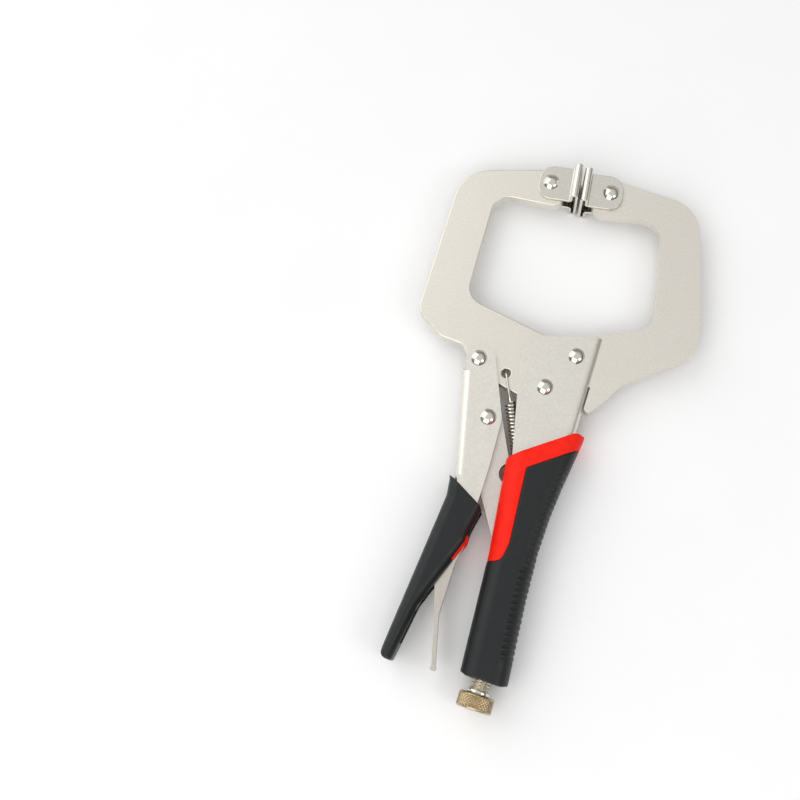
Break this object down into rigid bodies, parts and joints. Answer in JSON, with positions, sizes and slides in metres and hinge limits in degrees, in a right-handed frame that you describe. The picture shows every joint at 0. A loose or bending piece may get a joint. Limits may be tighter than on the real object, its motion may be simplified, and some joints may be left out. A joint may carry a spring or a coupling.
{
  "type": "locking c clamp",
  "caption": "Locking C clamp with swivel pads, toggle link, adjusting screw, release lever and black grips with a red band, drawn closed.",
  "frame": {"origin": "centre of the footprint, on the plane of the surface that the clamp lies on", "axes": "+Z along every pivot, +Y along the handle from the screw's knob to the jaws, +X from the moving jaw to the fixed jaw"},
  "size_m": [0.1418, 0.28, 0.023],
  "materials": {
    "plated_sheet": "satin nickel plate on pressed sheet steel",
    "plated_jaw": "satin nickel plate on forged steel",
    "bright_steel": "bright nickel plate",
    "screw": "bright plated thread",
    "knob": "knurled, brass coloured plate",
    "black_rubber": "satin moulded rubber",
    "red_rubber": "satin moulded rubber"
  },
  "bodies": {
    "handle": {"handle_body": "plated_sheet", "fixed_jaw": "plated_jaw", "fixed_jaw_rivet": "bright_steel", "jaw_pivot_rivet": "bright_steel", "handle_grip": "black_rubber", "handle_grip_band": "red_rubber", "return_spring": "bright_steel"},
    "moving_jaw": {"moving_jaw": "plated_jaw"},
    "lever": {"operating_lever": "plated_sheet", "lever_pivot_rivet": "bright_steel", "link_rivet": "bright_steel", "release_lever_rivet": "bright_steel", "lever_grip": "black_rubber", "lever_grip_inlay": "red_rubber"},
    "link": {"toggle_link": "plated_jaw"},
    "release": {"release_lever": "plated_sheet"},
    "moving_pad": {"moving_pad": "plated_sheet", "moving_pad_rivet": "bright_steel"},
    "fixed_pad": {"fixed_pad": "plated_sheet", "fixed_pad_rivet": "bright_steel"},
    "collar": {"screw_collar": "bright_steel"},
    "screw": {"adjusting_screw": "screw", "screw_knob": "knob"}
  },
  "joints": [
    {"name": "jaw_swing", "type": "hinge", "parent": "handle", "child": "moving_jaw", "pos_m": [0.00404, 0.01976, 0.0115], "axis": [0, 0, 1], "range_deg": [0, 20], "deforming": ["return_spring"]},
    {"name": "lever_swing", "type": "hinge", "parent": "moving_jaw", "child": "lever", "pos_m": [-0.03196, 0.02476, 0.0115], "axis": [0, 0, 1], "range_deg": [-60, 0]},
    {"name": "link_swing", "type": "hinge", "parent": "lever", "child": "link", "pos_m": [-0.01846, -0.00324, 0.0115], "axis": [0, 0, 1], "range_deg": [0, 60]},
    {"name": "release_swing", "type": "hinge", "parent": "lever", "child": "release", "pos_m": [-0.01576, -0.06184, 0.0115], "axis": [0, 0, 1], "range_deg": [-12, 0]},
    {"name": "moving_pad_swivel", "type": "hinge", "parent": "moving_jaw", "child": "moving_pad", "pos_m": [-0.02416, 0.12826, 0.0115], "axis": [0, 0, 1], "range_deg": [-10, 10]},
    {"name": "fixed_pad_swivel", "type": "hinge", "parent": "handle", "child": "fixed_pad", "pos_m": [0.00734, 0.13086, 0.0115], "axis": [0, 0, 1], "range_deg": [-10, 10]},
    {"name": "screw_travel", "type": "slide", "parent": "handle", "child": "collar", "axis": [0, -1, 0], "range_m": [0, 0.018]},
    {"name": "screw_turn", "type": "hinge", "parent": "collar", "child": "screw", "pos_m": [0.01604, -0.10524, 0.0115], "axis": [0, -1, 0], "range_deg": [0, 4320]}
  ],
  "couplings": [
    {"joint": "lever_swing", "follows": "jaw_swing", "ratio": -2.99},
    {"joint": "link_swing", "follows": "jaw_swing", "ratio": 2.99},
    {"joint": "fixed_pad_swivel", "follows": "moving_pad_swivel", "ratio": 1},
    {"joint": "screw_turn", "follows": "screw_travel", "rad_per_m": 4188.8}
  ]
}
